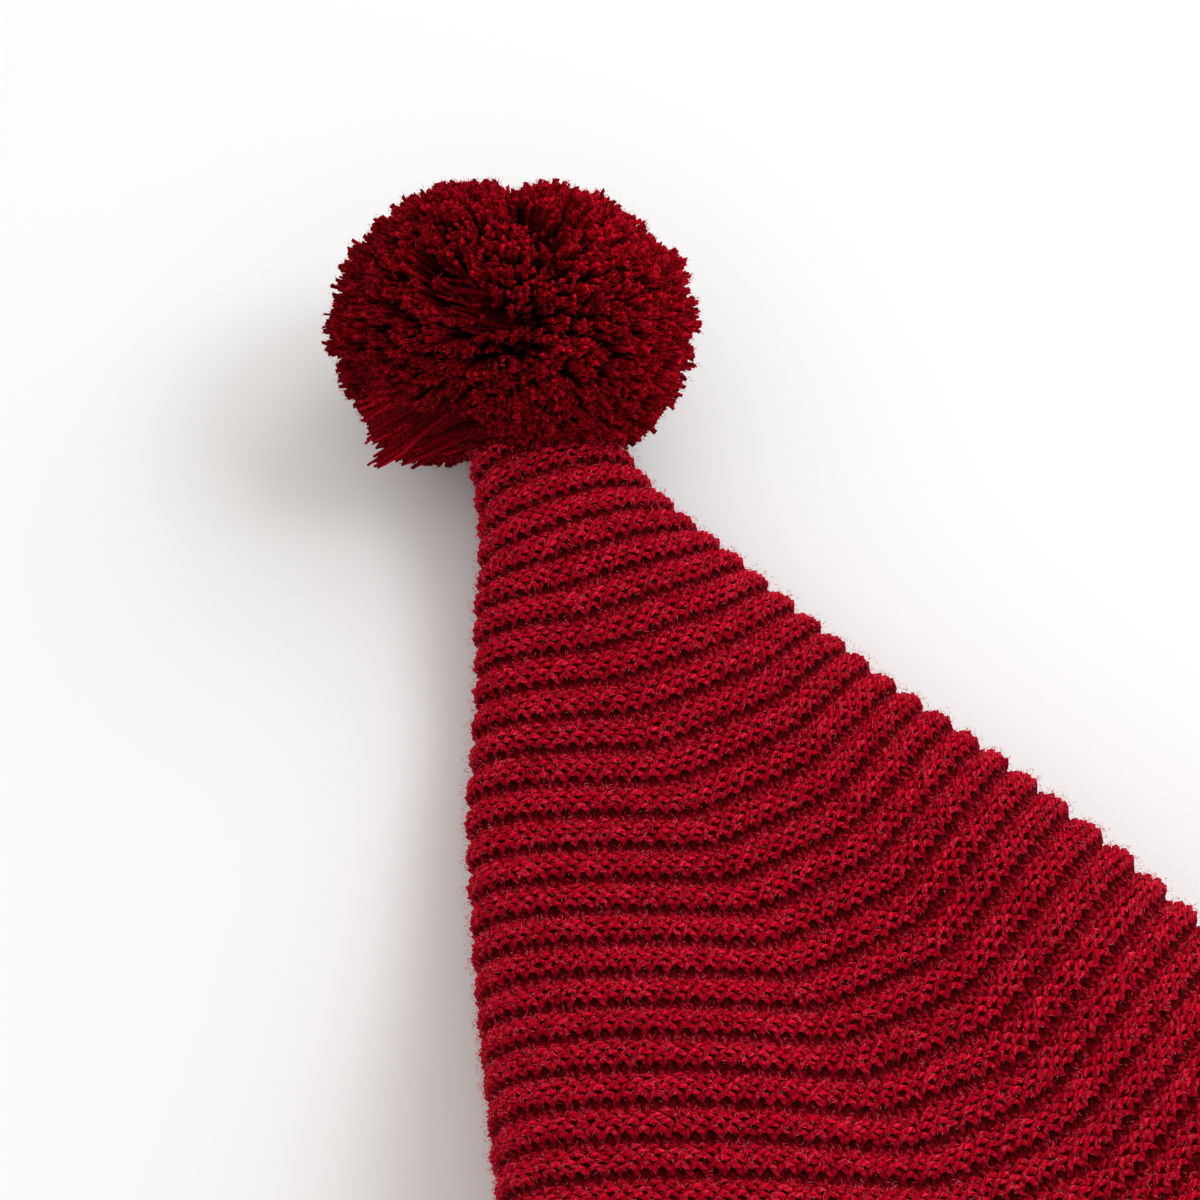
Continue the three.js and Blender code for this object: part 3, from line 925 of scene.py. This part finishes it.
# direction of the place on the ellipsoid that is seen so many mm to the right and up
def seenAt(right, up):
    start = (right * rightWay + up * upWay) / pompomHalves
    ray = nearWay / pompomHalves
    slope = start @ ray
    inside = max(slope * slope - (ray @ ray) * (start @ start - 1), 0)
    distance = (-slope + math.sqrt(inside)) / (ray @ ray)
    return unit((start + distance * ray) * pompomHalves)


# directions spread evenly over a ball, turned by the golden angle from one to the next
def ballDirections(count):
    index = np.arange(count)
    up = 1 - 2 * (index + 0.5) / count
    angle = index * math.pi * (3 - math.sqrt(5))
    flat = np.sqrt(1 - up * up)
    return np.stack([np.cos(angle) * flat, np.sin(angle) * flat, up], axis=1)


def turned(points):
    angle = math.radians(pompom["turn"])
    cosine = math.cos(angle)
    sine = math.sin(angle)
    x = points[..., 0] * cosine - points[..., 1] * sine
    y = points[..., 0] * sine + points[..., 1] * cosine
    return np.stack([x, y, points[..., 2]], axis=-1) + np.array(pompom["place"])


# true where a point lies in the crown or close over its skin
def insideCrown(points, margin):
    along = -points[..., 1] / crown["length"] + crown["tipAhead"]
    course = np.interp(along, sectionColumns[1], sectionColumns[0])
    at = {name: sectionCurves[name](course) for name in ("left", "right", "height", "lift")}
    left = -at["left"] * crown["brimWidth"]
    right = at["right"] * crown["brimWidth"]
    height = at["height"] * crown["brimHeight"]
    middleZ = at["lift"] * crown["brimHeight"] + crown["restLift"] + height / 2
    x = (points[..., 0] - (left + right) / 2) / ((right - left) / 2 + margin)
    z = (points[..., 2] - middleZ) / (height / 2 + margin)
    return (x * x + z * z < 1) & (along > 0)


def strandRadii(count, uneven, thickness):
    return pompom["strandRadius"] * (1 + jitter(count, uneven))[:, None] * np.array(thickness)


# a way across each strand
def acrossStrands(paths):
    return unit(np.cross(paths[:, -1] - paths[:, 0], random.normal(0, 1, (len(paths), 3))))


def buildPompom():
    count = pompom["strands"]
    direction = unit(ballDirections(count) + random.normal(0, pompom["rootUneven"], (count, 3)))
    tip = direction.copy()
    depth = np.zeros(count)
    for start, end, width, push, deep in pompom["partings"]:
        first = seenAt(*start)
        line = seenAt(*end) - first
        share = np.clip((direction - first) @ line / (line @ line), 0, 1)
        away = direction - (first + share[:, None] * line)
        distance = np.linalg.norm(away, axis=1)
        fade = np.exp(-((distance / width) ** 2))
        tip += (push * fade / np.maximum(distance, pompom["partingMiddle"]))[:, None] * away
        depth = np.maximum(depth, fade ** pompom["partingSharpness"] * deep)

    clumps = pompom["clumps"]
    clump = unit(ballDirections(clumps) + random.normal(0, pompom["clumpUneven"], (clumps, 3)))
    nearest = np.argmax(unit(tip) @ clump.T, axis=1)
    pull = pompom["clumpPull"] * (clump[nearest] - unit(tip))
    tip = unit(tip + pull + random.normal(0, pompom["endUneven"], (count, 3)))
    lumps = np.sin(direction @ waveDirections.T + wavePhases).mean(axis=1) * pompom["lumpHeight"]
    clumpReach = random.normal(0, pompom["clumpReachUneven"], clumps)[nearest]
    reach = pompom["meanReach"] + lumps + clumpReach + random.normal(0, pompom["reachUneven"], count)
    reach = pompomRadius(tip) * reach * (1 - depth)

    # strands set out along their roots' directions and bend over to their ends
    share = np.array(pompom["strandPlaces"])[None, :, None]
    ways = unit(direction[:, None] * (1 - share**2) + tip[:, None] * share**2)
    paths = turned(ways * (reach[:, None, None] * share))
    paths[:, -1] += random.normal(0, pompom["cutUneven"], (count, 3))
    grows = (depth < pompom["thinnedFrom"]) | (random.random(count) < pompom["thinnedShare"])
    keep = ~insideCrown(paths[:, 1:], pompom["crownMargin"]).any(axis=1) & grows
    paths = paths[keep]
    paths[..., 2] = np.maximum(paths[..., 2], pompom["lowest"])
    radii = strandRadii(len(paths), pompom["radiusUneven"], pompom["strandThickness"])
    side = acrossStrands(paths)
    # painted shade and light: strands are darker deep in the partings and lighter towards the lamps
    right, up = pompom["paintedLight"]
    paintedLight = 1 + direction[keep] @ (right * rightWay + up * upWay)
    shade = np.array(pompom["strandShade"]) * ((1 - depth[keep]) * paintedLight)[:, None]
    finish = (pompom["strandSides"], shade, pompom["strandRough"])
    return tubes("pompomYarn", pompomWool, paths, radii, side, *finish), paths


pompomYarn, pompomPaths = buildPompom()

# yarn that lies side by side, in the opening on top and at the lower left
bundle = {
    # in mm seen right, up and near: line of the roots, line of the ends, number of strands, spread
    "sheaves": [
        ((1.0, 4.0, 12.0), (7.0, -4.0, 13.0), (-13.5, 8.0, 17.5), (-8.5, -4.0, 21.5), 20, 1.8),
        ((-13.0, -9.5, 13.0), (-6.0, -14.0, 14.0), (-25.0, -13.0, 1.0), (-22.0, -22.5, 1.0), 240, 1.2),
        ((-6.0, -14.0, 12.0), (0.0, -19.0, 8.0), (-22.0, -22.5, 1.0), (-13.5, -20.5, 2.0), 220, 1.1),
    ],
    "strandsToLock": 8,
    "bow": 1.5,
    "uneven": 0.22,
    # spread of single ends as a share of the sheaf's spread
    "endSpread": 0.5,
    "crownMargin": 1.5,
    "radiusUneven": 0.2,
    "thickness": (1, 1, 1, 1.05, 0.8),
    # painted shade along each strand, dark at its root among the others and light at its end
    "shade": (0.12, 0.30, 0.5, 0.8, 1.1),
    "sides": 4,
    "rough": 0.04,
}


def buildBundles():
    points = len(bundle["thickness"])
    step = np.linspace(0, 1, points)[None, :, None]
    every = []
    for rootFrom, rootTo, endFrom, endTo, count, spread in bundle["sheaves"]:
        share = random.random(count)[:, None]
        lock = (share[:, 0] * count / bundle["strandsToLock"]).astype(int)
        lockShift = random.normal(0, spread, (lock.max() + 1, 3))[lock]
        root = np.array(rootFrom) * (1 - share) + np.array(rootTo) * share
        root += random.normal(0, spread, (count, 3))
        end = np.array(endFrom) * (1 - share) + np.array(endTo) * share + lockShift
        end += random.normal(0, spread * bundle["endSpread"], (count, 3))
        seen = root[:, None] * (1 - step) + end[:, None] * step
        seen[..., 2] += bundle["bow"] * np.sin(math.pi * step[..., 0])
        every.append(seen @ np.stack([rightWay, upWay, nearWay]))
    paths = turned(np.concatenate(every))
    paths[:, 1:-1] += random.normal(0, bundle["uneven"], (len(paths), points - 2, 3))
    paths = paths[~insideCrown(paths[:, 2:], bundle["crownMargin"]).any(axis=1)]
    paths[..., 2] = np.maximum(paths[..., 2], pompom["lowest"])
    radii = strandRadii(len(paths), bundle["radiusUneven"], bundle["thickness"])
    side = acrossStrands(paths)
    finish = (bundle["sides"], np.array(bundle["shade"]), bundle["rough"])
    return tubes("pompomBundles", pompomWool, paths, radii, side, *finish)


pompomBundles = buildBundles()

# dark ball behind the strands' roots: its place on the cloth's ramp gives it painted shade, as deep inside
# the ball
core = {"share": 0.60, "columns": 44, "rows": 24, "ridgePlace": 0.5}


def buildCore():
    shape = bmesh.new()
    bmesh.ops.create_uvsphere(shape, u_segments=core["columns"], v_segments=core["rows"], radius=1.0)
    directions = unit(np.array([vertex.co for vertex in shape.verts]))
    points = turned(directions * (core["share"] * pompomRadius(directions))[:, None])
    placeShape(shape, points, np.full(len(points), core["ridgePlace"]))
    shape.loops.layers.uv.new("yarn")
    return pieceFromShape("pompomCore", groundWool, shape)


pompomCore = buildCore()

# loose fibres: fine hairs that lie over the stitches and the yarn ends, each a slim pyramid
crownHair = {
    "hairs": 42000,
    "lift": 0.40,
    "spread": 0.50,
    "standing": 0.45,
    "reach": 0.85,
    "radius": 0.048,
}
pompomHair = {
    "hairs": 30000,
    "lift": -0.15,
    "spread": 0.28,
    "standing": 0.50,
    "reach": 0.95,
    "radius": 0.055,
}
hair = {"wander": 0.6, "shortest": 0.4}  # what both kinds share, shortest as a share of reach


def buildFibres(name, material, roots, outward, look):
    count = look["hairs"]
    chosen = random.integers(0, len(roots), count)
    root = roots[chosen] + outward[chosen] * look["lift"] + random.normal(0, look["spread"], (count, 3))
    heading = unit(outward[chosen] * look["standing"] + random.normal(0, hair["wander"], (count, 3)))
    length = look["reach"] * (hair["shortest"] + random.random(count))[:, None]
    side = unit(np.cross(heading, random.normal(0, 1, (count, 3))))[:, None]
    other = np.cross(heading, side[:, 0])[:, None]
    angle = (np.arange(3) / 3 * 2 * math.pi)[:, None]
    foot = root[:, None] + (side * np.cos(angle) + other * np.sin(angle)) * look["radius"]
    points = np.concatenate([foot, (root + heading * length)[:, None]], axis=1)
    points[..., 2] = np.maximum(points[..., 2], 0.0)
    faces = np.array([(0, 1, 3), (1, 2, 3), (2, 0, 3), (2, 1, 0)])
    corners = (np.arange(count) * 4)[:, None, None] + faces
    marks = {"tone": np.repeat(random.random(count), 4)}
    sizes = np.full(4 * count, 3)
    return pieceFromArrays(name, material, points.reshape(-1, 3), corners.ravel(), sizes, marks)


crownRoots = np.concatenate([row[0] for row in stitchRows["topArch"]])
crownNormals = np.concatenate([row[2] for row in stitchRows["topArch"]])
crownFibres = buildFibres("crownFibres", crownFuzz, crownRoots, crownNormals, crownHair)
tipDirections = unit(pompomPaths[:, -1] - pompomPaths[:, -2])
pompomFibres = buildFibres("pompomFibres", pompomFuzz, pompomPaths[:, -1], tipDirections, pompomHair)

crownYarns = (topArchesTip, topArchesBrim, underArches, topLegs, underLegs, brimEdge)
for piece in (crownCloth, *crownYarns, crownFibres):
    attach(piece, "root")
    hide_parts("knit_crown")
for piece in (pompomYarn, pompomBundles, pompomCore, pompomFibres):
    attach(piece, "root")
    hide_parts("pompom")
print("hat built")

# surface that the hat lies on, in metres
stage = {
    "size": 40.0,
    "drop": 0.0002,
    "colour": (0.88, 0.88, 0.88, 1),
    "roughness": 0.8,
    "specular": 0.1,
}


def buildFloor():
    shape = bmesh.new()
    bmesh.ops.create_grid(shape, x_segments=1, y_segments=1, size=stage["size"] / 2)
    bmesh.ops.translate(shape, verts=shape.verts, vec=(0, 0, -stage["drop"]))
    mesh = bpy.data.meshes.new("floor")
    shape.to_mesh(mesh)
    shape.free()
    material, _, shader = newMaterial("paleSurface", stage["roughness"], stage["specular"])
    shader.inputs["Base Color"].default_value = stage["colour"]
    mesh.materials.append(material)
    floor = bpy.data.objects.new("floor", mesh)
    bpy.context.scene.collection.objects.link(floor)


buildFloor()

# camera and lights: angles in degrees, the camera's distance and target in the crown's own mm,
# the lights' distance and size in metres
picture = {
    "azimuth": -26.0,
    "elevation": 62.6,
    "distance": 450.0,
    "target": (-3.13, -27.6, 11.0),
    "lens": 77.1,
    "sensor": 36.0,
    "lights": {
        # azimuth from the camera's, elevation, distance, size, power, colour
        "key": (92, 50, 1.8, 0.7, 6.5, (0.90, 0.97, 1.0)),
        "softBox": (122, 42, 1.8, 1.6, 11.5, (0.90, 0.97, 1.0)),
    },
    "skyStrength": 0.84,
    "skyColour": (1.0, 0.965, 0.94, 1),
}


def wayTo(azimuth, elevation):
    azimuth = math.radians(azimuth)
    elevation = math.radians(elevation)
    flat = math.cos(elevation)
    return np.array([math.sin(azimuth) * flat, -math.cos(azimuth) * flat, math.sin(elevation)])


def aim(item, place, target):
    item.location = place
    back = unit(np.array(place) - np.array(target))
    item.rotation_euler = (math.acos(back[2]), 0, math.atan2(back[0], -back[1]))


target = (np.array(picture["target"]) + toFrame) * millimetre
cameraPlace = wayTo(picture["azimuth"], picture["elevation"]) * picture["distance"] * millimetre + target
cameraData = bpy.data.cameras.new("camera")
cameraData.lens = picture["lens"]
cameraData.sensor_width = picture["sensor"]
camera = bpy.data.objects.new("camera", cameraData)
bpy.context.scene.collection.objects.link(camera)
aim(camera, cameraPlace, target)
bpy.context.scene.camera = camera

for name, (azimuth, elevation, distance, size, power, colour) in picture["lights"].items():
    data = bpy.data.lights.new(name, "AREA")
    data.shape = "DISK"
    data.size = size
    data.energy = power
    data.color = colour
    lamp = bpy.data.objects.new(name, data)
    bpy.context.scene.collection.objects.link(lamp)
    aim(lamp, target + wayTo(azimuth + picture["azimuth"], elevation) * distance, target)

world = bpy.data.worlds.new("sky")
world.use_nodes = True
background = world.node_tree.nodes["Background"]
background.inputs["Strength"].default_value = picture["skyStrength"]
background.inputs["Color"].default_value = picture["skyColour"]
bpy.context.scene.world = world
bpy.context.scene.view_settings.view_transform = "Standard"
bpy.context.scene.view_settings.look = "None"
print("stage ready")
